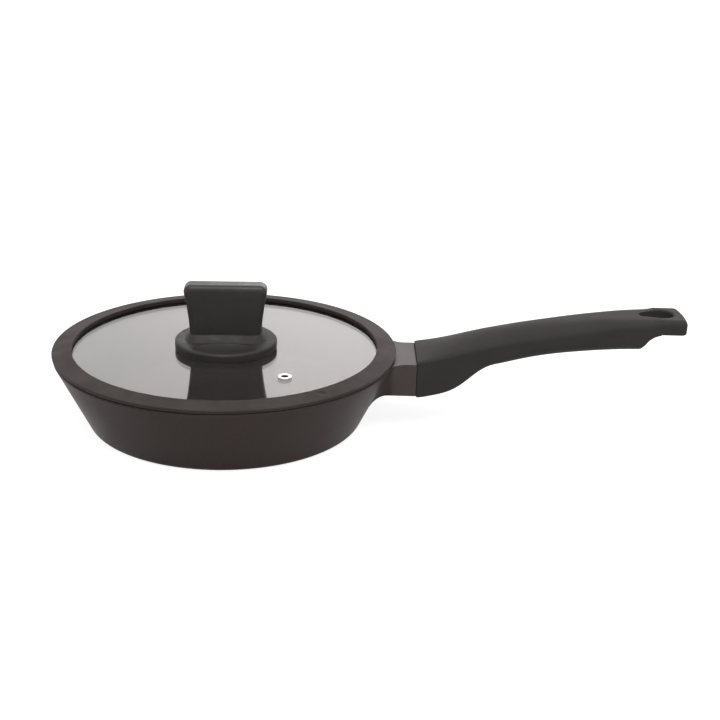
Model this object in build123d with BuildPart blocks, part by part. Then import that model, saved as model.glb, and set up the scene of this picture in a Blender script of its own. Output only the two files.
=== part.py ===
"""Low cast aluminium pan with a moulded handle and a flat glass lid in a silicone rim.

Millimetres, +Z up. The origin is the centre of the underside, on the surface the pan stands on,
and the handle points along +X.
"""
import os
from math import atan, cos, radians, sin, sqrt, tan

from build123d import *

os.makedirs("parts", exist_ok=True)

# ---- pan shell -----------------------------------------------------------------------------
rim_radius = 106.0  # outside of the rim
base_radius = 84.8  # outside of the base, where the wall line meets the underside
pan_height = 44.0  # underside to rim
wall = 3.7  # wall thickness, measured level
floor_thickness = 5.0
base_corner = 4.0  # rounding between the underside and the wall
inner_corner = 9.0  # rounding between the floor and the wall
rim_edge = 1.0  # rounding of the rim's outer edge
rim_inner_edge = 0.4

# ---- induction plate, pressed flush into the underside -------------------------------------
plate_radius = 68.0
plate_thickness = 1.0
stud_radius = 2.2  # aluminium that fills each hole of the plate
stud_gap = 0.05  # round each stud, and round the plate
stud_rings = [(18.0, 8), (36.0, 16), (54.0, 24)]  # radius and number of holes

# ---- lug, cast in one with the shell, and the tongue that runs on inside the handle --------
lug_length = 12.5  # from the rim to where the handle starts
lug_width = 40.8
lug_top_step = 0.4  # lug's top below the rim
lug_height = 20.5
lug_flare = 11.0  # rounding where the lug's sides run into the wall
lug_under = 9.0  # and where its underside does
curve_step = 0.3  # that curve ends this far off the wall
seam_edge = 0.5  # rounded edges that leave a fine seam between lug and handle
tongue_length = 26.0
tongue_width = 24.0
tongue_height = 9.0
tongue_drop = 3.2  # tongue's top below the lug's top
tongue_corner = 1.5
socket_gap = 0.15  # room round the tongue inside the handle
socket_end_gap = 0.6

# ---- handle --------------------------------------------------------------------------------
handle_length = 165.6
front_width = 41.8
grip_width = 30.0
handle_top_step = 1.6  # handle's top above the lug's top
front_depth = 22.9
grip_depth = 20.6
tail_swell = 1.015  # depth of the handle just before its tail, over grip_depth
tail_rise = 29.0  # top of the tail above the handle's top at the front
tail_thickness = 9.4  # of the thin tail that holds the hang hole
tail_length = 29.8
step_lean = 35.0  # degrees from upright of the slope under the tail
step_radius = 12.0  # where the slope curves out into the tail's underside
tail_plate = 17.0
tail_corner = 3.9  # corners of the rounded end, seen from above
tail_bulge = 1.5  # how far the end's middle stands out past its corners
tail_round = 3.6  # rounding of the tail's upper edges
tail_edge = 1.2  # and of its lower ones
tail_inset = 0.05  # the tail plate sits this far inside the grip's outline
hang_radius = 7.8  # wide end of the hang hole
hang_tip_radius = 4.4  # narrow end
hang_pitch = 9.2  # between the centres of its two ends
hang_margin = 7.3  # material left between the hole and the handle's end
hang_edge = 0.8
top_arch = 5.0  # rise of the arched top over its two side ridges, where it is highest
corner_pull = 0.6  # pull of a section's corner curve towards its sharp corner; 0.55 is an ellipse

# ---- handle screw, from below --------------------------------------------------------------
screw_from_lug = 13.0  # screw's axis from the lug's end
screw_shank = 2.5
screw_head = 4.4
screw_head_height = 2.8
screw_seat = 3.4  # moulding left between the screw's seat and the tongue
head_gap = 0.5  # round a screw's head
shank_gap = 0.3  # round a screw's shank
thread_gap = 0.05  # between the shank and its insert
cross_width = 4.6  # driver's cross in a screw head
cross_slot = 1.1
cross_depth = 1.6
washer_thickness = 1.1
washer_slit = 0.6  # cut through the spring washer
thread_end_gap = 0.6  # screw's end short of the tongue's top
insert_radius = 4.0

# ---- glass and its rim ---------------------------------------------------------------------
glass_inset = 9.2  # glass's edge inside the pan's rim
glass_thickness = 4.0
glass_above_rim = 1.4  # glass's top above the pan's rim
glass_edge = 0.8
groove_gap = 0.15  # round the glass's edge
groove_lift = 0.1  # between the glass's top and the ring
ring_edge_height = 2.4  # at the outside, above the pan's rim
ring_crown = 4.0  # at the inside, above the pan's rim
ring_cover = 2.8  # of the glass's edge under the ring
skirt_depth = 5.6  # below the pan's rim
skirt_gap = 0.45  # between the skirt and the pan's wall
ring_round = 0.5  # rounding of the ring's upper outer edge
ring_lip = 1.8  # of its lower outer edge, which leaves a dark line above the rim
ring_bead = 0.6  # of its inner edge and the skirt's foot
dimple_radius = 2.9  # small moulded dimple, in line with the vent
dimple_depth = 0.7

# ---- steam vent ----------------------------------------------------------------------------
vent_at = 63.4  # from the axis
vent_angle = -51.9  # degrees from the handle
vent_bore = 2.2
vent_barrel = 3.0  # outside of the barrel
vent_flange = 4.2
vent_sheet = 0.5  # thickness of the steel
vent_roll = 0.24  # rounding of the rolled flanges
vent_hole_gap = 0.2

# ---- knob ----------------------------------------------------------------------------------
grip_angle = 2.5  # degrees between the grip and the handle, as the lid lies
knob_radius = 31.6
knob_gap = 0.2  # between the knob's rim and the glass
knob_side = 5.4  # height of the flange
knob_edge = 1.6
knob_foot_edge = 0.6
flange_crown = 0.8  # the flange's top rises this much towards the middle
grip_height = 40.9  # top of the grip above the glass
grip_top_width = 53.2
grip_waist_width = 43.8
grip_thickness = 14.0
grip_corner = 4.5
grip_hollow = 1.0  # how far the flanks are bowed in
grip_foot = 3.0  # the grip's root below the flange's top is inside the flange
grip_edge = 3.4
shoulder_height = 4.6  # raised foot of the grip, above the flange's top
shoulder_half_length = 25.5
shoulder_half_width = 12.0
shoulder_corner = 9.0
shoulder_lean = 30.0  # degrees from upright of the foot's sides
scoop_radius = 15.0  # of the barrel that forms a scoop, at its middle
scoop_depth = 2.4
scoop_half_length = 19.0  # along the grip, where the barrel rises to the flange's top
scoop_out = 14.0  # scoop's middle from the grip's face
seal_radius = 9.0
seal_thickness = 1.2
bush_flange = 8.5
bush_thickness = 1.0
bush_collar = 4.6
knob_washer_radius = 7.5
knob_washer_thickness = 1.2
knob_insert_length = 14.0
knob_screw_grip = 11.0  # thread that stands in the insert
glass_hole_gap = 0.2

# ---- places that follow ---------------------------------------------------------------------
wall_slope = (rim_radius - base_radius) / pan_height
lug_end = rim_radius + lug_length
lug_top = pan_height - lug_top_step
lug_bottom = lug_top - lug_height
curve_reach = lug_under * tan((radians(90) - atan(wall_slope)) / 2)
curve_foot = lug_bottom - curve_reach * cos(atan(wall_slope))
tongue_top = lug_top - tongue_drop
tongue_bottom = tongue_top - tongue_height
glass_top = pan_height + glass_above_rim
glass_bottom = glass_top - glass_thickness
glass_radius = rim_radius - glass_inset
screw_x = lug_end + screw_from_lug
screw_seat_z = tongue_bottom - screw_seat
handle_end = lug_end + handle_length
grip_end = handle_end - tail_plate  # where the grip's section ends and the tail plate goes on
handle_top = lug_top + handle_top_step
tail_top = handle_top + tail_rise
vent_x = vent_at * cos(radians(vent_angle))
vent_y = vent_at * sin(radians(vent_angle))
grip_x = (cos(radians(grip_angle)), sin(radians(grip_angle)), 0)
grip_out = (sin(radians(grip_angle)), -cos(radians(grip_angle)), 0)
grip_plane = Plane(origin=(0, 0, 0), x_dir=grip_x, z_dir=grip_out)


def driver_cross(plane, x):
    """Cross-shaped face for the driver's recess in a screw head, on the axis at x."""
    with BuildSketch(plane) as cross:
        with Locations((x, 0)):
            Rectangle(cross_width, cross_slot)
            Rectangle(cross_slot, cross_width)
    return cross.sketch


def flare_outline(level, side):
    """Face between the lug's side, the wall's circle at this level and the arc that joins them."""
    wall_radius = base_radius + wall_slope * level
    lug_side = lug_width / 2
    reach = wall_radius + lug_flare
    centre = Vector(sqrt(reach**2 - (lug_side + lug_flare) ** 2), lug_side + lug_flare)
    touch = centre * (wall_radius / reach)
    start = Vector(centre.X, lug_side)
    middle = centre + ((start + touch) / 2 - centre).normalized() * lug_flare
    root = touch * (1 - wall / 2 / wall_radius)
    points = [start, middle, touch, root, Vector(root.X, lug_side - wall), Vector(start.X, lug_side - wall)]
    start, middle, touch, *inner = [Vector(point.X, side * point.Y) for point in points]
    with BuildSketch(Plane.XY.offset(level)) as outline:
        with BuildLine():
            ThreePointArc(start, middle, touch)
            Polyline(touch, *inner, start)
        make_face()
    return outline.sketch


# ---- pan body --------------------------------------------------------------------------------
with BuildPart() as pan_body:
    with BuildSketch(Plane.XZ):
        with BuildLine():
            FilletPolyline(
                (0, 0),
                (base_radius, 0),
                (rim_radius, pan_height),
                (0, pan_height),
                radius=[base_corner, rim_edge],
            )
            Line((0, pan_height), (0, 0))
        make_face()
    revolve(axis=Axis.Z)

    # the lug starts inside the wall and reaches down to where its underside's curve meets the wall;
    # the cavity is cut after it
    with BuildSketch(Plane.YZ.offset(lug_end)):
        with Locations((0, (lug_top + curve_foot) / 2)):
            Rectangle(lug_width, lug_top - curve_foot)
    extrude(amount=-(lug_end - base_radius + wall))

    # a flare on each side runs the lug into the wall, tangent to both at every level
    for side in (1, -1):
        loft([flare_outline(level, side) for level in (curve_foot, lug_top)], ruled=True)

    # what lies below the underside is cut away round the axis; its curve runs down beside the wall
    curve_start = Vector(base_radius + wall_slope * curve_foot + curve_step, curve_foot)
    curve_end = Vector(base_radius + wall_slope * lug_bottom + curve_step + curve_reach, lug_bottom)
    curve_centre = curve_end - Vector(0, lug_under)
    towards_wall = Vector(base_radius + wall_slope * lug_bottom, lug_bottom) - curve_centre
    curve_middle = curve_centre + towards_wall.normalized() * lug_under
    with BuildSketch(Plane.XZ):
        with BuildLine():
            ThreePointArc(curve_start, curve_middle, curve_end)
            Polyline(
                curve_end,
                (lug_end + wall, lug_bottom),
                (lug_end + wall, curve_foot - wall),
                (curve_start.X, curve_foot - wall),
                curve_start,
            )
        make_face()
    revolve(axis=Axis.Z, mode=Mode.SUBTRACT)

    # cavity, its wall parallel to the outside
    with BuildSketch(Plane.XZ):
        with BuildLine():
            FilletPolyline(
                (0, floor_thickness),
                (base_radius + wall_slope * floor_thickness - wall, floor_thickness),
                (rim_radius + wall_slope * wall - wall, pan_height + wall),
                (0, pan_height + wall),
                radius=[inner_corner, rim_inner_edge],
            )
            Line((0, pan_height + wall), (0, floor_thickness))
        make_face()
    revolve(axis=Axis.Z, mode=Mode.SUBTRACT)
    fillet(pan_body.faces().sort_by(Axis.X)[-1].edges(), seam_edge)

    # the tongue, and the hole for its threaded insert
    with BuildSketch(Plane.YZ.offset(lug_end)):
        with Locations((0, (tongue_top + tongue_bottom) / 2)):
            RectangleRounded(tongue_width, tongue_height, tongue_corner)
    extrude(amount=tongue_length)
    with BuildSketch(Plane.XY.offset(tongue_bottom)):
        with Locations((screw_x, 0)):
            Circle(insert_radius)
    extrude(amount=tongue_height, mode=Mode.SUBTRACT)

    # recess for the induction plate, with the studs of metal that fill the plate's holes
    with BuildSketch():
        Circle(plate_radius)
        for hole_circle, count in stud_rings:
            with PolarLocations(hole_circle, count):
                Circle(stud_radius, mode=Mode.SUBTRACT)
    extrude(amount=plate_thickness, mode=Mode.SUBTRACT)

pan_body.part.label = "pan_body"
export_step(pan_body.part, "parts/pan_body.step")

# ---- induction plate -------------------------------------------------------------------------
with BuildPart() as induction_plate:
    with BuildSketch():
        Circle(plate_radius - stud_gap)
        for hole_circle, count in stud_rings:
            with PolarLocations(hole_circle, count):
                Circle(stud_radius + stud_gap, mode=Mode.SUBTRACT)
    extrude(amount=plate_thickness)

induction_plate.part.label = "induction_plate"
export_step(induction_plate.part, "parts/induction_plate.step")

# ---- threaded insert in the tongue -------------------------------------------------------------
with BuildPart() as lug_insert:
    with BuildSketch(Plane.XY.offset(tongue_bottom)):
        with Locations((screw_x, 0)):
            Circle(insert_radius)
            Circle(screw_shank + thread_gap, mode=Mode.SUBTRACT)
    extrude(amount=tongue_height)

lug_insert.part.label = "lug_insert"
export_step(lug_insert.part, "parts/lug_insert.step")

# ---- handle ------------------------------------------------------------------------------------
grip_share = (grip_end - lug_end) / handle_length
tail_depth = grip_depth * tail_swell
# Stations along the handle: share of its length, half width, top below the tail's top, depth, how
# much of each half of the section its rounded corners take up (across the top, down from the top,
# and both ways below), and the arch's rise.
front_half = front_width / 2
grip_half = grip_width / 2
tail_half = grip_half - tail_inset
front_drop = tail_rise
stations = [
    (0.000, front_half, front_drop, front_depth, 0.12, 0.12, 0.06, 0.0),
    (0.035, front_half * 0.963, front_drop * 0.918, front_depth * 1.095, 0.12, 0.12, 0.08, top_arch * 0.22),
    (0.071, front_half * 0.925, front_drop * 0.840, front_depth * 1.160, 0.13, 0.13, 0.13, top_arch * 0.44),
    (0.142, front_half * 0.86, front_drop * 0.695, front_depth * 1.212, 0.14, 0.14, 0.28, top_arch * 0.70),
    (0.213, grip_half * 1.135, front_drop * 0.557, front_depth * 1.037, 0.16, 0.16, 0.50, top_arch * 0.88),
    (0.305, grip_half * 1.08, front_drop * 0.419, grip_depth * 0.990, 0.20, 0.20, 0.66, top_arch),
    (0.416, grip_half * 1.03, front_drop * 0.296, grip_depth * 0.960, 0.34, 0.34, 0.74, top_arch * 0.84),
    (0.558, grip_half, front_drop * 0.161, grip_depth * 0.974, 0.80, 0.62, 0.80, top_arch * 0.32),
    (0.710, grip_half, front_drop * 0.068, grip_depth * 0.974, 0.66, 0.56, 0.74, top_arch * 0.06),
    (0.832, grip_half, front_drop * 0.028, grip_depth * 0.976, 0.45, 0.50, 0.66, 0.0),
    (grip_share, grip_half, 0.0, tail_depth, tail_round / grip_half, 2 * tail_round / tail_depth, 0.66, 0.0),
]


def handle_section(share, half_width, drop, depth, across_above, upright_above, below, arch):
    """Section across the handle: straight sides, rounded corners and an arched top."""
    top = tail_top - drop
    bottom = top - depth
    kept = 1 - across_above
    arch_slope = 2 * arch * kept / half_width
    corners = {}
    for name, level, inward, round_across, round_upright, slope, curve_level in (
        ("low", bottom, 1, below, below, 0, bottom),
        ("high", top - arch, -1, across_above, upright_above, arch_slope, top - arch * kept**2),
    ):
        across = half_width * round_across
        upright = inward * depth / 2 * round_upright
        on_side = Vector(half_width, level + upright)
        on_level = Vector(half_width - across, curve_level)
        pulled_up = on_side - Vector(0, upright * corner_pull)
        pulled_out = on_level + Vector(1, -slope) * (across * corner_pull)
        corners[name] = (on_side, pulled_up, pulled_out, on_level)
    arch_foot = corners["high"][-1]
    reach = arch_foot.X / 3
    with BuildSketch(Plane.YZ.offset(lug_end + share * handle_length)) as section:
        with BuildLine():
            Line((0, bottom), corners["low"][-1])
            Bezier(*reversed(corners["low"]))
            Line(corners["low"][0], corners["high"][0])
            Bezier(*corners["high"])
            Bezier(arch_foot, arch_foot + Vector(-1, arch_slope) * reach, (reach, top), (0, top))
            mirror(about=Plane.YZ)
        make_face()
    return section.sketch


# The thin tail is a plate whose edges are rounded over; it overlaps nothing but the grip's end.
tail_bottom = tail_top - tail_thickness
with BuildPart() as tail:
    with BuildSketch(Plane.XY.offset(tail_bottom)):
        with BuildLine():
            Polyline(
                (handle_end - tail_bulge, tail_half),
                (grip_end, tail_half),
                (grip_end, -tail_half),
                (handle_end - tail_bulge, -tail_half),
            )
            ThreePointArc(
                (handle_end - tail_bulge, -tail_half),
                (handle_end, 0),
                (handle_end - tail_bulge, tail_half),
            )
        make_face()
        fillet(vertices().group_by(Axis.X)[-1], tail_corner)
    extrude(amount=tail_thickness - tail_inset)
    fillet(faces().sort_by(Axis.Z)[-1].edges().sort_by(Axis.X)[1:], tail_round)
    fillet(faces().sort_by(Axis.Z)[0].edges().sort_by(Axis.X)[1:], tail_edge)

with BuildPart() as handle:
    loft([handle_section(*station) for station in stations])
    fillet(handle.faces().sort_by(Axis.X)[0].edges(), seam_edge)

    # the grip ends in a slope, which curves out into the tail's underside
    step_x = handle_end - tail_length + (tail_depth - tail_thickness) * tan(radians(step_lean))
    below = tail_bottom - 2 * grip_depth
    slope_foot = (step_x - (tail_bottom - below) * tan(radians(step_lean)), below)
    with BuildSketch(Plane.XZ):
        with BuildLine():
            FilletPolyline(slope_foot, (step_x, tail_bottom), (handle_end, tail_bottom), radius=step_radius)
            Polyline((handle_end, tail_bottom), (handle_end, below), slope_foot)
        make_face()
    extrude(amount=grip_width, both=True, mode=Mode.SUBTRACT)
    add(tail.part)

    # hang hole, with a chamfered upper edge whose cutter starts above the tail and ends in the hole
    hang_x = handle_end - hang_margin - hang_radius
    edge_cut = 2.5 * hang_edge
    for level, grow, depth, lean in (
        (tail_top + hang_edge, 2 * hang_edge, edge_cut, 45),
        (tail_top, 0, below, 0),
    ):
        with BuildSketch(Plane.XY.offset(level)):
            with Locations((hang_x, 0)):
                Circle(hang_radius + grow)
            with Locations((hang_x - hang_pitch, 0)):
                Circle(hang_tip_radius + grow)
            make_hull()
        extrude(amount=-depth, taper=lean, mode=Mode.SUBTRACT)

    # socket for the lug's tongue, and the screw's hole and seat from below
    with BuildSketch(Plane.YZ.offset(lug_end)):
        with Locations((0, (tongue_top + tongue_bottom) / 2)):
            RectangleRounded(
                tongue_width + 2 * socket_gap, tongue_height + 2 * socket_gap, tongue_corner + socket_gap
            )
    extrude(amount=tongue_length + socket_end_gap, mode=Mode.SUBTRACT)
    for level, radius, depth in (
        (tongue_bottom, screw_shank + shank_gap, -screw_seat),
        (screw_seat_z, screw_head + head_gap, -front_depth),
    ):
        with BuildSketch(Plane.XY.offset(level)):
            with Locations((screw_x, 0)):
                Circle(radius)
        extrude(amount=depth, mode=Mode.SUBTRACT)

handle.part.label = "handle"
export_step(handle.part, "parts/handle.step")


# ---- handle screw and its washer ---------------------------------------------------------------
def screw_blank(head_radius, head_height, shank_length, seat, x):
    """Profile to revolve: a pan head below its seat and a shank above, on the axis at x."""
    crown = head_height / 2
    face = seat - head_height
    edge = x + head_radius
    with BuildSketch(Plane.XZ) as profile:
        with BuildLine():
            Polyline((x, face), (x, seat + shank_length), (x + screw_shank, seat + shank_length))
            Polyline((x + screw_shank, seat + shank_length), (x + screw_shank, seat), (edge, seat))
            Line((edge, seat), (edge, face + crown))
            RadiusArc((edge, face + crown), (edge - crown, face), crown)
            Line((edge - crown, face), (x, face))
        make_face()
    return profile.sketch


with BuildPart() as handle_screw:
    head_seat = screw_seat_z - washer_thickness
    shank = washer_thickness + screw_seat + tongue_height - thread_end_gap
    revolve(
        screw_blank(screw_head, screw_head_height, shank, head_seat, screw_x),
        axis=Axis((screw_x, 0, 0), (0, 0, 1)),
    )
    cross_plane = Plane.XY.offset(head_seat - screw_head_height)
    extrude(driver_cross(cross_plane, screw_x), amount=cross_depth, mode=Mode.SUBTRACT)

handle_screw.part.label = "handle_screw"
export_step(handle_screw.part, "parts/handle_screw.step")

with BuildPart() as handle_washer:
    with BuildSketch(Plane.XY.offset(screw_seat_z - washer_thickness)):
        with Locations((screw_x, 0)):
            Circle(screw_head)
            Circle(screw_shank + shank_gap, mode=Mode.SUBTRACT)
            with Locations((screw_head / 2, 0)):
                Rectangle(screw_head, washer_slit, mode=Mode.SUBTRACT)
    extrude(amount=washer_thickness)

handle_washer.part.label = "handle_washer"
export_step(handle_washer.part, "parts/handle_washer.step")

# ---- lid glass ---------------------------------------------------------------------------------
with BuildPart() as lid_glass:
    with BuildSketch(Plane.XY.offset(glass_bottom)):
        Circle(glass_radius)
        Circle(bush_collar + glass_hole_gap, mode=Mode.SUBTRACT)
        with Locations((vent_x, vent_y)):
            Circle(vent_barrel + vent_hole_gap, mode=Mode.SUBTRACT)
    extrude(amount=glass_thickness)
    rim_edges = lid_glass.edges().filter_by(GeomType.CIRCLE).sort_by(SortBy.RADIUS)[-2:]
    chamfer(rim_edges, glass_edge)

lid_glass.part.label = "lid_glass"
export_step(lid_glass.part, "parts/lid_glass.step")

# ---- silicone rim --------------------------------------------------------------------------------
# Going round its section: the flange that lies on the pan's rim, the crowned top, the groove that
# grips the glass, and the skirt that plugs the pan's mouth and follows its wall.
skirt_top = rim_radius - wall - skirt_gap
skirt_foot = skirt_top - wall_slope * skirt_depth
groove_radius = glass_radius + groove_gap
ring_inner_radius = glass_radius - ring_cover
dimple_at = (rim_radius + ring_inner_radius) / 2
with BuildPart() as lid_rim:
    with BuildSketch(Plane.XZ):
        with BuildLine():
            FilletPolyline(
                (skirt_top, pan_height),
                (rim_radius, pan_height),
                (rim_radius, pan_height + ring_edge_height),
                (ring_inner_radius, pan_height + ring_crown),
                (ring_inner_radius, glass_top + groove_lift),
                (groove_radius, glass_top + groove_lift),
                (groove_radius, glass_bottom),
                (ring_inner_radius, glass_bottom),
                (ring_inner_radius, pan_height - skirt_depth),
                (skirt_foot, pan_height - skirt_depth),
                radius=[0, ring_lip, ring_round, ring_bead, 0, 0, 0, 0, ring_bead, ring_bead],
                close=True,
            )
        make_face()
    revolve(axis=Axis.Z)

    # small moulded dimple in line with the vent
    ring_slope = (ring_crown - ring_edge_height) / (rim_radius - ring_inner_radius)
    dimple_level = pan_height + ring_edge_height + ring_slope * (rim_radius - dimple_at)
    dimple_ball = (dimple_radius**2 + dimple_depth**2) / (2 * dimple_depth)
    dimple_x = dimple_at * cos(radians(vent_angle))
    dimple_y = dimple_at * sin(radians(vent_angle))
    with Locations((dimple_x, dimple_y, dimple_level + dimple_ball - dimple_depth)):
        Sphere(dimple_ball, mode=Mode.SUBTRACT)

lid_rim.part.label = "lid_rim"
export_step(lid_rim.part, "parts/lid_rim.step")

# ---- steam vent ------------------------------------------------------------------------------------
vent_front = Plane(origin=(vent_x, vent_y, 0), x_dir=(1, 0, 0), z_dir=(0, -1, 0))
with BuildPart() as vent_eyelet:
    with BuildSketch(vent_front):
        with BuildLine():
            FilletPolyline(
                (vent_bore, glass_bottom - vent_sheet),
                (vent_flange, glass_bottom - vent_sheet),
                (vent_flange, glass_bottom),
                (vent_barrel, glass_bottom),
                (vent_barrel, glass_top),
                (vent_flange, glass_top),
                (vent_flange, glass_top + vent_sheet),
                (vent_bore, glass_top + vent_sheet),
                radius=[vent_roll, vent_roll, 0, 0, 0, 0, vent_roll, vent_roll],
                close=True,
            )
        make_face()
    revolve(axis=Axis((vent_x, vent_y, 0), (0, 0, 1)))

vent_eyelet.part.label = "vent_eyelet"
export_step(vent_eyelet.part, "parts/vent_eyelet.step")

# ---- knob ------------------------------------------------------------------------------------------
knob_bottom = glass_top + knob_gap
flange_top = knob_bottom + knob_side
grip_top = glass_top + grip_height
grip_half_thickness = grip_thickness / 2
seal_top = glass_top + seal_thickness

# the grip: an upright plate that widens towards its top, its foot inside the flange
grip_root = flange_top - grip_foot
flank_middle = (grip_waist_width + grip_top_width) / 4 - grip_hollow
with BuildPart() as grip:
    with BuildSketch(grip_plane.offset(-grip_half_thickness)):
        with BuildLine():
            Line((0, grip_root), (grip_waist_width / 2, grip_root))
            Line((grip_waist_width / 2, grip_root), (grip_waist_width / 2, flange_top))
            ThreePointArc(
                (grip_waist_width / 2, flange_top),
                (flank_middle, (flange_top + grip_top) / 2),
                (grip_top_width / 2, grip_top),
            )
            Line((grip_top_width / 2, grip_top), (0, grip_top))
            mirror(about=Plane.YZ)
        make_face()
        fillet(vertices().group_by(Axis.Y)[-1], grip_corner)
    extrude(amount=grip_thickness)
    faces_across = faces().sort_by(Axis(origin=(0, 0, 0), direction=grip_out))
    outer_edges = faces_across[0].edges() + faces_across[-1].edges()
    fillet(outer_edges.filter_by(lambda edge: edge.center().Z > grip_root + grip_edge), grip_edge)

with BuildPart() as knob:
    with BuildSketch(Plane.XZ):
        with BuildLine():
            FilletPolyline(
                (0, knob_bottom),
                (knob_radius, knob_bottom),
                (knob_radius, flange_top),
                (0, flange_top + flange_crown),
                radius=[knob_foot_edge, knob_edge],
            )
            Line((0, flange_top + flange_crown), (0, knob_bottom))
        make_face()
    revolve(axis=Axis.Z)

    # the raised foot that the grip stands on
    foot_plane = Plane(origin=(0, 0, flange_top), x_dir=grip_x, z_dir=(0, 0, 1))
    for level, height, lean in ((-grip_foot, grip_foot, 0), (0, shoulder_height, shoulder_lean)):
        with BuildSketch(foot_plane.offset(level)):
            RectangleRounded(2 * shoulder_half_length, 2 * shoulder_half_width, shoulder_corner)
        extrude(amount=height, taper=lean)

    # finger scoops in front of the grip and behind it: shallow barrels lying along the grip
    barrel_sag = scoop_radius - scoop_depth
    scoop_level = flange_top + barrel_sag
    for side in (1, -1):
        scoop_plane = grip_plane.offset(side * (grip_half_thickness + scoop_out))
        with BuildSketch(scoop_plane):
            with BuildLine():
                Line((-scoop_half_length, scoop_level), (scoop_half_length, scoop_level))
                Line((scoop_half_length, scoop_level), (scoop_half_length, flange_top))
                ThreePointArc(
                    (scoop_half_length, flange_top),
                    (0, scoop_level - scoop_radius),
                    (-scoop_half_length, flange_top),
                )
                Line((-scoop_half_length, flange_top), (-scoop_half_length, scoop_level))
            make_face()
        scoop_origin = scoop_plane.origin + Vector(0, 0, scoop_level)
        revolve(axis=Axis(scoop_origin, grip_x), mode=Mode.SUBTRACT)

    # the grip, the recess for the seal and the hole for the threaded insert
    add(grip.part)
    for level, radius, depth in (
        (knob_bottom, seal_radius + head_gap, seal_top - knob_bottom),
        (seal_top, insert_radius, knob_insert_length),
    ):
        with BuildSketch(Plane.XY.offset(level)):
            Circle(radius)
        extrude(amount=depth, mode=Mode.SUBTRACT)

knob.part.label = "knob"
export_step(knob.part, "parts/knob.step")

# ---- fastening of the knob, from the top down ------------------------------------------------------
with BuildPart() as knob_insert:
    with BuildSketch(Plane.XY.offset(seal_top)):
        Circle(insert_radius)
        Circle(screw_shank + thread_gap, mode=Mode.SUBTRACT)
    extrude(amount=knob_insert_length)

knob_insert.part.label = "knob_insert"
export_step(knob_insert.part, "parts/knob_insert.step")

with BuildPart() as knob_seal:
    with BuildSketch(Plane.XY.offset(glass_top)):
        Circle(seal_radius)
        Circle(screw_shank + shank_gap, mode=Mode.SUBTRACT)
    extrude(amount=seal_thickness)

knob_seal.part.label = "knob_seal"
export_step(knob_seal.part, "parts/knob_seal.step")

with BuildPart() as knob_bush:
    with BuildSketch(Plane.XY.offset(glass_bottom - bush_thickness)):
        Circle(bush_flange)
    extrude(amount=bush_thickness)
    with BuildSketch(Plane.XY.offset(glass_bottom)):
        Circle(bush_collar)
    extrude(amount=glass_thickness)
    Cylinder(screw_shank + shank_gap, 4 * pan_height, mode=Mode.SUBTRACT)

knob_bush.part.label = "knob_bush"
export_step(knob_bush.part, "parts/knob_bush.step")

knob_seat = glass_bottom - bush_thickness - knob_washer_thickness
with BuildPart() as knob_washer:
    with BuildSketch(Plane.XY.offset(knob_seat)):
        Circle(knob_washer_radius)
        Circle(screw_shank + shank_gap, mode=Mode.SUBTRACT)
    extrude(amount=knob_washer_thickness)

knob_washer.part.label = "knob_washer"
export_step(knob_washer.part, "parts/knob_washer.step")

with BuildPart() as knob_screw:
    shank = seal_top + knob_screw_grip - knob_seat
    revolve(screw_blank(screw_head, screw_head_height, shank, knob_seat, 0), axis=Axis.Z)
    cross_plane = Plane.XY.offset(knob_seat - screw_head_height)
    extrude(driver_cross(cross_plane, 0), amount=cross_depth, mode=Mode.SUBTRACT)

knob_screw.part.label = "knob_screw"
export_step(knob_screw.part, "parts/knob_screw.step")
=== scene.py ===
# %% [markdown]
# # A low saucepan with a glass lid
# The pan is a low aluminium casting with a dark lacquer outside and a non-stick lining inside. Its
# handle and the lid's knob are moulded in a dark resin with a soft-touch feel, and the lid is a
# flat disc of tempered glass gripped by a silicone rim. The solids are loaded as a fixed frame,
# with every piece in its place, so nothing is modelled here. The lesson dresses them: finishes
# made from nodes, a studio floor, soft lamps and a camera.

import math

import bpy
from mathutils import Matrix, Vector


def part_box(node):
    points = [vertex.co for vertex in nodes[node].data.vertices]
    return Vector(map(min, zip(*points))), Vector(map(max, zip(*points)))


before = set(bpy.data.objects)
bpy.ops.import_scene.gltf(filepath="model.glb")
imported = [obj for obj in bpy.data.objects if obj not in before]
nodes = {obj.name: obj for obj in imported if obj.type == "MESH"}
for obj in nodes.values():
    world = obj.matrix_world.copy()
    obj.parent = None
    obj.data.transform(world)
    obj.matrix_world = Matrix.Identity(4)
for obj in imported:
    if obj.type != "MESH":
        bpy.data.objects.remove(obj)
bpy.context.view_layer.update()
print("pieces:", ", ".join(sorted(nodes)))

# %% [markdown]
# ## Finding our way round the pan
# Some finishes change with place: the lining starts inside the wall, and the knob is smoothest on
# top, where a palm rests. Such places could be typed in as numbers, but then they would be wrong
# as soon as a size changed. Here they are read from the boxes of the pieces themselves.

# %% Places read from the frame
pan_low, pan_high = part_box("pan_body")
knob_low, knob_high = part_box("knob")
rim_radius = -pan_low.x
rim_height = pan_high.z
knob_top = knob_high.z
print("rim radius", round(rim_radius, 4), "and height", round(rim_height, 4), "m")
print("knob from", round(knob_low.z, 4), "to", round(knob_top, 4), "m")

# %% [markdown]
# ## A blank finish
# Every finish below is one Principled surface, the shader that covers plastic, glass and metal
# alike. Its patterns could be laid on with unwrapped coordinates, but object coordinates need no
# unwrapping, are in metres, and stay put on the lid when it is lifted.


# %% Blank finish and coordinates
def new_finish(name):
    """Material with one Principled surface; returns the material, its tree and the surface."""
    finish = bpy.data.materials.new(name)
    finish.use_nodes = True
    tree = finish.node_tree
    return finish, tree, tree.nodes["Principled BSDF"]


def place(tree):
    """The piece's own coordinates, in metres."""
    return tree.nodes.new("ShaderNodeTexCoord").outputs["Object"]


def split_place(tree, where):
    """The three parts x, y and z of a place."""
    split = tree.nodes.new("ShaderNodeSeparateXYZ")
    tree.links.new(where, split.inputs[0])
    return split.outputs


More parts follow.
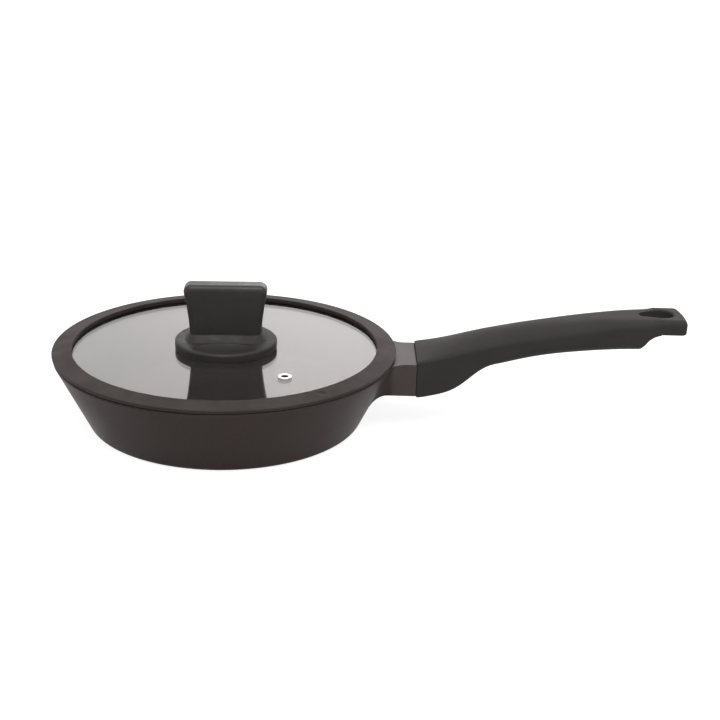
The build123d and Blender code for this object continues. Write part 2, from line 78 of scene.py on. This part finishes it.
print("finishes in the file before we start:", len(bpy.data.materials))

# %% [markdown]
# ## Grain, and what it drives
# Real surfaces vary a little everywhere, at a size that can be named: a suede grain finer than a
# third of a millimetre, a cloud of wear as wide as a thumb. Noise gives both. A Map Range node
# then turns the noise into the range that a colour mix or a roughness needs, which is easier to
# read in plain numbers than a colour ramp.


# %% Grain and range
def grain(tree, size, detail=2.0, rough=0.5):
    """Soft noise whose lumps are about this size, in metres."""
    noise = tree.nodes.new("ShaderNodeTexNoise")
    noise.inputs["Scale"].default_value = 1.0 / size
    noise.inputs["Detail"].default_value = detail
    noise.inputs["Roughness"].default_value = rough
    tree.links.new(place(tree), noise.inputs["Vector"])
    return noise.outputs["Fac"]


def spread(tree, value, low, high, to_low=0.0, to_high=1.0, smooth=True):
    """The value's range low to high, spread over to_low to to_high."""
    ramp = tree.nodes.new("ShaderNodeMapRange")
    ramp.interpolation_type = "SMOOTHSTEP" if smooth else "LINEAR"
    ramp.inputs["From Min"].default_value = low
    ramp.inputs["From Max"].default_value = high
    ramp.inputs["To Min"].default_value = to_low
    ramp.inputs["To Max"].default_value = to_high
    tree.links.new(value, ramp.inputs["Value"])
    return ramp.outputs["Result"]


suede_size = 0.00028
print("a grain of", suede_size, "m is noise of scale", round(1.0 / suede_size))

# %% [markdown]
# ## Mixing and reckoning
# Two more helpers join the patterns: one mixes two colours by a share, and one does a single step
# of arithmetic. Long chains of Math nodes are hard to follow when they are wired by hand, and as
# nested calls they read like the sum that they are.


# %% Colour mix and arithmetic
def blend_colours(tree, share, first, second):
    """Colour that goes from first to second as share goes from 0 to 1."""
    mix = tree.nodes.new("ShaderNodeMix")
    mix.data_type = "RGBA"
    tree.links.new(share, mix.inputs["Factor"])
    for colour, socket in ((first, mix.inputs["A"]), (second, mix.inputs["B"])):
        if isinstance(colour, tuple):
            socket.default_value = (*colour, 1.0)
        else:
            tree.links.new(colour, socket)
    return mix.outputs["Result"]


def reckon(tree, operation, first, second=0.0):
    """One Math node; each side is a socket or a number."""
    math_node = tree.nodes.new("ShaderNodeMath")
    math_node.operation = operation
    for value, socket in ((first, math_node.inputs[0]), (second, math_node.inputs[1])):
        if isinstance(value, (int, float)):
            socket.default_value = value
        else:
            tree.links.new(value, socket)
    return math_node.outputs[0]


def scaled(colour, share):
    """The colour made darker or paler by a share."""
    return tuple(share * channel for channel in colour)


print("a grey of 0.5 made a tenth darker:", scaled((0.5, 0.5, 0.5), 0.9))

# %% [markdown]
# ## Relief
# Grain this fine could be displaced geometry, but it would take millions of faces and still be
# lost at arm's length. A bump tilts the light on the surface instead, and its height is given in
# real metres, so it stays as shallow as the coat that it stands for.


# %% Relief, and putting a finish on
def relief(tree, surface, height, strength, distance):
    """Bump on the surface from a height of 0 to 1; distance is the height's real size."""
    bump = tree.nodes.new("ShaderNodeBump")
    bump.inputs["Strength"].default_value = strength
    bump.inputs["Distance"].default_value = distance
    tree.links.new(height, bump.inputs["Height"])
    tree.links.new(bump.outputs["Normal"], surface.inputs["Normal"])


def dress(finish, *names):
    """Puts a finish in the slot of each named piece."""
    for name in names:
        piece = nodes[name]
        piece.data.materials.clear()
        piece.data.materials.append(finish)
    print(finish.name, "on", ", ".join(names))


print("pieces to dress:", len(nodes))

# %% [markdown]
# ## Dark resin with a soft touch
# Handle and knob are moulded, then sprayed with a matt coat that feels like suede. Such a coat has
# no clear reflection, only a broad weak glow at a glancing angle, and a grain finer than 0.3 mm.
# One plain rough colour would look chalky. So the colour drifts a little, and the roughness falls
# in patches where hands have polished the coat, and most on the very top of the knob.

# %% Soft-touch resin
patch_size = 0.018  # of the slow drift in colour
handled_size = 0.030  # of the patches that hands have polished
unhandled_roughness = 0.66
suede_height = 0.00004
rubbed_smoother = 0.22  # how much roughness a palm has taken off the knob's top
rubbed_depth = 0.0022  # how far down from the knob's top that reaches
rubbed_fade = 0.0012  # and over what height it comes in


def soft_touch(name, colour, polished_roughness, shine, rubbed_above=None):
    """Matt coat; above a height, where a palm rests, it has gone smooth."""
    finish, tree, surface = new_finish(name)
    drift = spread(tree, grain(tree, patch_size, detail=3.0), low=0.35, high=0.65)
    tinted = blend_colours(tree, drift, scaled(colour, 0.9), colour)
    tree.links.new(tinted, surface.inputs["Base Color"])
    handling = grain(tree, handled_size, detail=4.0, rough=0.6)
    roughness = spread(
        tree, handling, low=0.4, high=0.7, to_low=unhandled_roughness, to_high=polished_roughness
    )
    if rubbed_above:
        height = split_place(tree, place(tree))[2]
        full = rubbed_above + rubbed_fade
        rubbed = spread(tree, height, rubbed_above, full, to_high=rubbed_smoother)
        roughness = reckon(tree, "SUBTRACT", roughness, rubbed)
    tree.links.new(roughness, surface.inputs["Roughness"])
    surface.inputs["Specular IOR Level"].default_value = shine
    relief(tree, surface, grain(tree, suede_size), strength=0.25, distance=suede_height)
    return finish


handle_coat = soft_touch(
    "soft_touch_handle", (0.0435, 0.0395, 0.0375), polished_roughness=0.60, shine=0.15
)
dress(handle_coat, "handle")
knob_coat = soft_touch(
    "soft_touch_knob",
    (0.021, 0.0165, 0.0155),
    polished_roughness=0.42,
    shine=0.44,
    rubbed_above=knob_top - rubbed_depth,
)
dress(knob_coat, "knob")

# %% [markdown]
# ## The pan's two skins
# Outside, the casting is sprayed with a dark lacquer that carries fine metal flake and cures to a
# satin. Inside is a sprayed non-stick lining, a little darker and duller, with faint specks. Two
# material slots would need the faces sorted into inside and outside. One finish with a mask needs
# no sorting: a point belongs to the lining if it lies nearer the axis than the middle of the
# wall, and above a level that runs inside the floor.

# %% Where the lining is
wall_middle_at_base = 0.0827  # radius of the middle of the wall, at the underside
half_wall = 0.0019  # from the rim's outside to the middle of the wall
floor_level = 0.0035  # runs inside the floor's thickness


def inside_the_pan(tree, x, y, z):
    """1 on the lining, 0 on the lacquer."""
    squares = reckon(tree, "ADD", reckon(tree, "MULTIPLY", x, x), reckon(tree, "MULTIPLY", y, y))
    across = reckon(tree, "SQRT", squares)
    # the middle of the wall leans out as it rises, as the wall itself does
    wall_middle_at_rim = rim_radius - half_wall
    middle = spread(
        tree,
        z,
        low=0.0,
        high=rim_height,
        to_low=wall_middle_at_base,
        to_high=wall_middle_at_rim,
        smooth=False,
    )
    within_wall = reckon(tree, "LESS_THAN", across, middle)
    above_floor = reckon(tree, "GREATER_THAN", z, floor_level)
    return reckon(tree, "MULTIPLY", within_wall, above_floor)


print("the lining starts inside radius", round(rim_radius - half_wall, 4), "m at the rim")

# %% [markdown]
# ## Lacquer and lining
# The flake and the specks are both noise cut off near its peaks, so that only scattered points
# remain. They could be scattered bits of geometry, but they lie under a clear coat and have no
# edge of their own. The lug's top, beside the handle, is buffed by the thumb, so there the coat
# gets its full shine, and the walls stay dull.

# %% Lacquer outside, lining inside
lacquer_colour, flake_colour = (0.069, 0.0525, 0.0505), (0.092, 0.075, 0.072)
lining_colour, speck_colour = (0.059, 0.049, 0.048), (0.074, 0.064, 0.062)
flake_size, speck_size = 0.0006, 0.0011
spray_size, spray_height = 0.0009, 0.00005  # of the faint orange peel that spraying leaves
wall_shine, lug_shine = 0.04, 0.22
lug_blend = 0.004  # over which the wall's shine turns into the lug's
lining_duller = 1.15  # roughness of the lining over that of the lacquer


def pan_skins(name):
    finish, tree, surface = new_finish(name)
    x, y, z = split_place(tree, place(tree))
    inside = inside_the_pan(tree, x, y, z)
    flake = spread(tree, grain(tree, flake_size, detail=1.0), low=0.62, high=0.74)
    lacquer = blend_colours(tree, flake, lacquer_colour, flake_colour)
    speck = spread(tree, grain(tree, speck_size, detail=0.0), low=0.70, high=0.74)
    lining = blend_colours(tree, speck, lining_colour, speck_colour)
    skin = blend_colours(tree, inside, lacquer, lining)
    tree.links.new(skin, surface.inputs["Base Color"])
    drift = grain(tree, 0.025, detail=3.0)
    satin = spread(tree, drift, low=0.35, high=0.7, to_low=0.38, to_high=0.45)
    extra = reckon(tree, "SUBTRACT", reckon(tree, "MULTIPLY", satin, lining_duller), satin)
    roughness = reckon(tree, "ADD", satin, reckon(tree, "MULTIPLY", inside, extra))
    tree.links.new(roughness, surface.inputs["Roughness"])
    surface.inputs["Specular IOR Level"].default_value = wall_shine
    on_lug = spread(
        tree, x, rim_radius - lug_blend, rim_radius, to_low=wall_shine, to_high=lug_shine
    )
    tree.links.new(on_lug, surface.inputs["Specular IOR Level"])
    relief(tree, surface, grain(tree, spray_size), strength=0.12, distance=spray_height)
    return finish


dress(pan_skins("lacquered_casting"), "pan_body")

# %% [markdown]
# ## Silicone rim
# The rim is moulded in silicone rubber, satin from the mould, with a dust-fine grain. Rubber looks
# softer than resin: its highlight is broad and weak, and nothing polishes it. A velvet-like sheen
# layer could give that too, but a low specular level on a rough surface does it more plainly. Dust
# and washing leave faint paler clouds.

# %% Silicone
cloud_size = 0.012
dust_size, dust_height = 0.00045, 0.00004


def silicone(name, colour):
    finish, tree, surface = new_finish(name)
    cloud = spread(tree, grain(tree, cloud_size, detail=4.0, rough=0.6), low=0.35, high=0.7)
    clouded = blend_colours(tree, cloud, colour, scaled(colour, 1.25))
    tree.links.new(clouded, surface.inputs["Base Color"])
    drift = grain(tree, 0.02)
    roughness = spread(tree, drift, low=0.35, high=0.7, to_low=0.56, to_high=0.64)
    tree.links.new(roughness, surface.inputs["Roughness"])
    surface.inputs["Specular IOR Level"].default_value = 0.15
    relief(tree, surface, grain(tree, dust_size), strength=0.2, distance=dust_height)
    return finish


dress(silicone("silicone_rim", (0.0355, 0.028, 0.0255)), "lid_rim")
dress(silicone("silicone_seal", (0.030, 0.029, 0.029)), "knob_seal", "knob_bush")

# %% [markdown]
# ## Tempered glass
# The lid's pane is clear float glass, toughened by heat. What is seen of it is mostly reflection:
# the bright studio in front of the dark inside of the pan. A mix of Glass and Transparent shaders
# would be quicker to render, but full transmission on the Principled surface gives the real
# balance of what it mirrors and what it lets through. Toughening leaves it a hair off flat, so a
# slow ripple goes in the bump, and use leaves it a trace less than clear.

# %% Glass
ripple_size, ripple_height = 0.045, 0.00004


def toughened_glass(name):
    finish, tree, surface = new_finish(name)
    surface.inputs["Base Color"].default_value = (0.97, 0.965, 0.96, 1.0)
    surface.inputs["Transmission Weight"].default_value = 1.0
    surface.inputs["IOR"].default_value = 1.52
    use = grain(tree, 0.03, detail=5.0, rough=0.65)
    roughness = spread(tree, use, low=0.45, high=0.8, to_low=0.008, to_high=0.02)
    tree.links.new(roughness, surface.inputs["Roughness"])
    ripple = grain(tree, ripple_size, detail=1.0)
    relief(tree, surface, ripple, strength=0.05, distance=ripple_height)
    return finish


dress(toughened_glass("toughened_glass"), "lid_glass")

# %% [markdown]
# ## Bright metal
# The vent is a pressed and polished stainless eyelet. The screws, the washers and the insert in
# the lug are zinc-plated, and the knob's insert is turned brass. All are one recipe: full
# metallic, with a colour and a roughness that drift a little, as handled metal does. Three
# separate materials built by hand would only repeat it.

# %% Polished, plated and turned metal
wear_size = 0.004
scratch_size, scratch_height = 0.0004, 0.00002


def bright_metal(name, colour, smoothest, roughest):
    finish, tree, surface = new_finish(name)
    surface.inputs["Metallic"].default_value = 1.0
    worn = spread(tree, grain(tree, wear_size, detail=4.0, rough=0.6), low=0.35, high=0.7)
    tinted = blend_colours(tree, worn, colour, scaled(colour, 0.85))
    tree.links.new(tinted, surface.inputs["Base Color"])
    drift = grain(tree, wear_size)
    roughness = spread(tree, drift, low=0.3, high=0.7, to_low=smoothest, to_high=roughest)
    tree.links.new(roughness, surface.inputs["Roughness"])
    relief(tree, surface, grain(tree, scratch_size), strength=0.1, distance=scratch_height)
    return finish


steel = bright_metal("polished_vent", (0.97, 0.96, 0.955), smoothest=0.06, roughest=0.14)
dress(steel, "vent_eyelet")
zinc = bright_metal("zinc_plate", (0.62, 0.62, 0.60), smoothest=0.28, roughest=0.42)
dress(zinc, "handle_screw", "handle_washer", "knob_screw", "knob_washer", "lug_insert")
brass = bright_metal("turned_brass", (0.75, 0.58, 0.30), smoothest=0.22, roughest=0.34)
dress(brass, "knob_insert")

# %% [markdown]
# ## The faced plate
# The plate under the base is ferritic steel, faced on a lathe, so it carries fine rings that
# spread the light into a fan. An anisotropic surface would give the fan alone; a wave texture with
# rings about the pan's axis gives the rings themselves, in colour and in relief.

# %% Lathe-faced steel
ring_scale = 520.0  # of the wave texture, which sets how close the rings lie
ring_wander = 0.6
ring_height = 0.00003


def lathe_faced(name, colour):
    finish, tree, surface = new_finish(name)
    surface.inputs["Metallic"].default_value = 1.0
    rings = tree.nodes.new("ShaderNodeTexWave")
    rings.wave_type = "RINGS"
    rings.rings_direction = "Z"
    rings.inputs["Scale"].default_value = ring_scale
    rings.inputs["Distortion"].default_value = ring_wander
    rings.inputs["Detail"].default_value = 1.0
    tree.links.new(place(tree), rings.inputs["Vector"])
    turned = blend_colours(tree, rings.outputs["Fac"], scaled(colour, 0.8), colour)
    tree.links.new(turned, surface.inputs["Base Color"])
    drift = grain(tree, 0.02, detail=4.0)
    roughness = spread(tree, drift, low=0.3, high=0.7, to_low=0.28, to_high=0.42)
    tree.links.new(roughness, surface.inputs["Roughness"])
    relief(tree, surface, rings.outputs["Fac"], strength=0.2, distance=ring_height)
    return finish


dress(lathe_faced("faced_plate", (0.60, 0.59, 0.57)), "induction_plate")

# %% [markdown]
# ## The floor
# The pan stands on a pale floor that runs far back. More lamps could burn it out to white, but
# they would wash out the pan as well. Here the floor and the air glow only for rays that come from
# the camera, or that the pan mirrors or lets through. So the floor shows white, still takes a soft
# shadow, and adds no light to the pan beyond what a grey floor gives back.

# %% Floor
floor_size = 12.0
floor_behind = 2.0  # how far the floor's middle lies behind the pan
floor_gap = 0.0002  # between the pan's underside and the floor, so that they don't flicker
floor_grey = (0.5, 0.5, 0.5, 1.0)
floor_glow = 0.86
white = (1.0, 1.0, 1.0, 1.0)


def white_to_the_eye(tree):
    """1 for rays from the camera, and for those mirrored or let through by the pan; else 0."""
    path = tree.nodes.new("ShaderNodeLightPath")
    seen = reckon(tree, "MAXIMUM", path.outputs["Is Camera Ray"], path.outputs["Is Glossy Ray"])
    return reckon(tree, "MAXIMUM", seen, path.outputs["Is Transmission Ray"])


bpy.ops.mesh.primitive_plane_add(size=floor_size, location=(0.0, floor_behind, -floor_gap))
floor = bpy.context.object
floor.name = "studio_floor"
floor_paint, tree, surface = new_finish("floor_paint")
surface.inputs["Base Color"].default_value = floor_grey
surface.inputs["Roughness"].default_value = 0.9
surface.inputs["Specular IOR Level"].default_value = 0.0
surface.inputs["Emission Color"].default_value = white
glow = reckon(tree, "MULTIPLY", white_to_the_eye(tree), floor_glow)
tree.links.new(glow, surface.inputs["Emission Strength"])
floor.data.materials.append(floor_paint)
print("floor", floor_size, "m square")

# %% [markdown]
# ## The air
# The world is the light that comes from everywhere. It is white to the eye, and a little under half
# of that as light on the pan, which leaves the rest to the lamp and keeps colours near the values
# they are written with.

# %% World
air_light = 0.46
studio_air = bpy.data.worlds.new("studio_air")
bpy.context.scene.world = studio_air
studio_air.use_nodes = True
air_tree = studio_air.node_tree
air = air_tree.nodes["Background"]
air.inputs["Color"].default_value = white
air_extra = reckon(air_tree, "MULTIPLY", white_to_the_eye(air_tree), 1.0 - air_light)
air_tree.links.new(reckon(air_tree, "ADD", air_extra, air_light), air.inputs["Strength"])
print("air gives", air_light, "as light and 1.0 to the eye")

# %% [markdown]
# ## The card behind the pan
# Low behind the pan stands a wide, faintly warm card, which is what the lid's glass and the lug's
# top mirror. It could be a glowing plane, but a lamp of the same size can be left out of one kind
# of light: this one gives no diffuse light, so it brightens no wall and is there for reflections
# only.


# %% A soft lamp, and the card
def soft_lamp(name, place_at, aim, width, height, brightness, colour=(1.0, 1.0, 1.0)):
    """Rectangular lamp; brightness is what a white card in its place would show."""
    data = bpy.data.lights.new(name, "AREA")
    data.shape = "RECTANGLE"
    data.size = width
    data.size_y = height
    data.energy = brightness * math.pi * width * height
    data.color = colour
    lamp = bpy.data.objects.new(name, data)
    bpy.context.collection.objects.link(lamp)
    lamp.location = place_at
    lamp.rotation_mode = "QUATERNION"
    lamp.rotation_quaternion = (Vector(aim) - Vector(place_at)).to_track_quat("-Z", "Y")
    print(name, "brightness", brightness, "power", round(data.energy, 1), "W")
    return lamp


back_card = soft_lamp(
    "back_card",
    place_at=(0.0, 1.7, 0.95),
    aim=(0.1, 0.0, 0.05),
    width=3.6,
    height=1.7,
    brightness=0.95,
    colour=(1.0, 0.90, 0.91),
)
back_card.visible_diffuse = False

# %% [markdown]
# ## The slope on the card
# A real card is lit from one side, and glass shows that as a slope from dim to bright. A second
# lamp could add it, but the two edges would show. A lamp has a node tree of its own, so here its
# strength follows the place on the card.


# %% Dimming the card
def dim_to_the_left(lamp, left, right, least):
    """The lamp dims to the least share between two places, given in metres along x."""
    lamp.data.use_nodes = True
    tree = lamp.data.node_tree
    where = tree.nodes.new("ShaderNodeNewGeometry").outputs["Position"]
    share = spread(tree, split_place(tree, where)[0], left, right, least, 1.0)
    tree.links.new(share, tree.nodes["Emission"].inputs["Strength"])
    print(lamp.name, "dims to", least, "between x", right, "and", left)


dim_to_the_left(back_card, left=-0.50, right=0.10, least=0.50)

# %% [markdown]
# ## The lamp overhead
# The tops of the pan, the handle and the knob are a little brighter than their sides, and no edge
# of a shadow shows on the floor. A sun lamp would draw a hard one. A panel over a metre wide,
# hung above and a little in front, gives the light and keeps the shadow soft.

# %% Overhead lamp
soft_lamp(
    "top_lamp",
    place_at=(0.25, -0.6, 1.5),
    aim=(0.1, 0.0, 0.0),
    width=1.6,
    height=1.2,
    brightness=2.6,
)

# %% [markdown]
# ## The camera
# A round rim seen from the side is an ellipse: the flatter it is, the lower the eye, and the more
# its near half outgrows its far half, the nearer the eye. That is how this camera was placed, a
# little to the pan's right, 77 cm from the middle of its underside and looking down by 21
# degrees, with a lens of 60 mm. Two angles and a roll could be typed in; here the matrix is built
# from where the camera looks and which way is right, which can be read off and checked.

# %% Camera
eye = Vector((0.07205, -0.70437, 0.30337))
looks_along = Vector((0.0155, 0.9359, -0.3521)).normalized()
to_the_right = Vector((0.99956, -0.0054, 0.0297)).normalized()
upward = to_the_right.cross(looks_along)
turn = Matrix((to_the_right, upward, -looks_along)).transposed().to_4x4()
camera_data = bpy.data.cameras.new("studio_camera")
camera_data.sensor_width = 36.0
camera_data.lens = 59.98
camera = bpy.data.objects.new("studio_camera", camera_data)
bpy.context.collection.objects.link(camera)
camera.matrix_world = Matrix.Translation(eye) @ turn
bpy.context.scene.camera = camera
bpy.context.scene.view_settings.view_transform = "Standard"
looks_down = math.degrees(math.asin(-looks_along.z))
print("camera", round(eye.length, 2), "m away, looking down by", round(looks_down, 1), "degrees")
